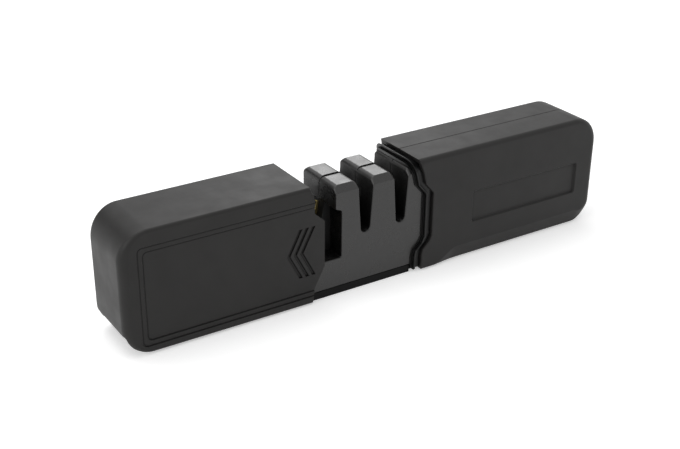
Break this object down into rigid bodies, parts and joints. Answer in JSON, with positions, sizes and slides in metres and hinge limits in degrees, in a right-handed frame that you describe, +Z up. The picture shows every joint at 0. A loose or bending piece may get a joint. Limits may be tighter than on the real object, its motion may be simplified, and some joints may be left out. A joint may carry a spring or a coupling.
{
  "type": "pull through knife sharpener",
  "caption": "Hand-held pull through knife sharpener with a hollow handle, a slotted core that carries V-set sharpening pieces, and a sliding cover over the slots.",
  "frame": {"origin": "centre of the drawn part's box in X and Y, on the surface it stands on", "axes": "+X along the tool towards the handle's closed end, -Y the front face with the recessed panel, +Z up"},
  "size_m": [0.2066, 0.0268, 0.0463],
  "materials": {
    "soft_shell": "soft-touch matte charcoal",
    "core_plastic": "satin charcoal",
    "collar_rubber": "smooth black rubber",
    "pad_rubber": "matte black rubber",
    "carrier_plastic": "fine matte black",
    "gold_coating": "gold coloured hard coating",
    "carbide": "ground grey carbide",
    "ceramic": "fine white ceramic",
    "steel": "zinc plated steel"
  },
  "bodies": {
    "core_and_handle": {"handle_front": "soft_shell", "handle_back": "soft_shell", "core_front": "core_plastic", "core_back": "core_plastic", "rim_collar": "collar_rubber", "base_pad": "pad_rubber", "handle_pad": "pad_rubber", "gold_holder": "carrier_plastic", "carbide_holder": "carrier_plastic", "ceramic_holder": "carrier_plastic", "gold_blade_left": "gold_coating", "gold_blade_right": "gold_coating", "carbide_blade_left": "carbide", "carbide_blade_right": "carbide", "gold_pin": "steel", "carbide_pin": "steel", "core_screws": "steel", "handle_screws": "steel", "ceramic_rod_left": "ceramic", "ceramic_rod_right": "ceramic"},
    "cover": {"cover_shell": "soft_shell"}
  },
  "joints": [
    {"name": "cover_slide", "type": "slide", "parent": "core_and_handle", "child": "cover", "axis": [1, 0, 0], "range_m": [-0.008, 0.0429]}
  ]
}
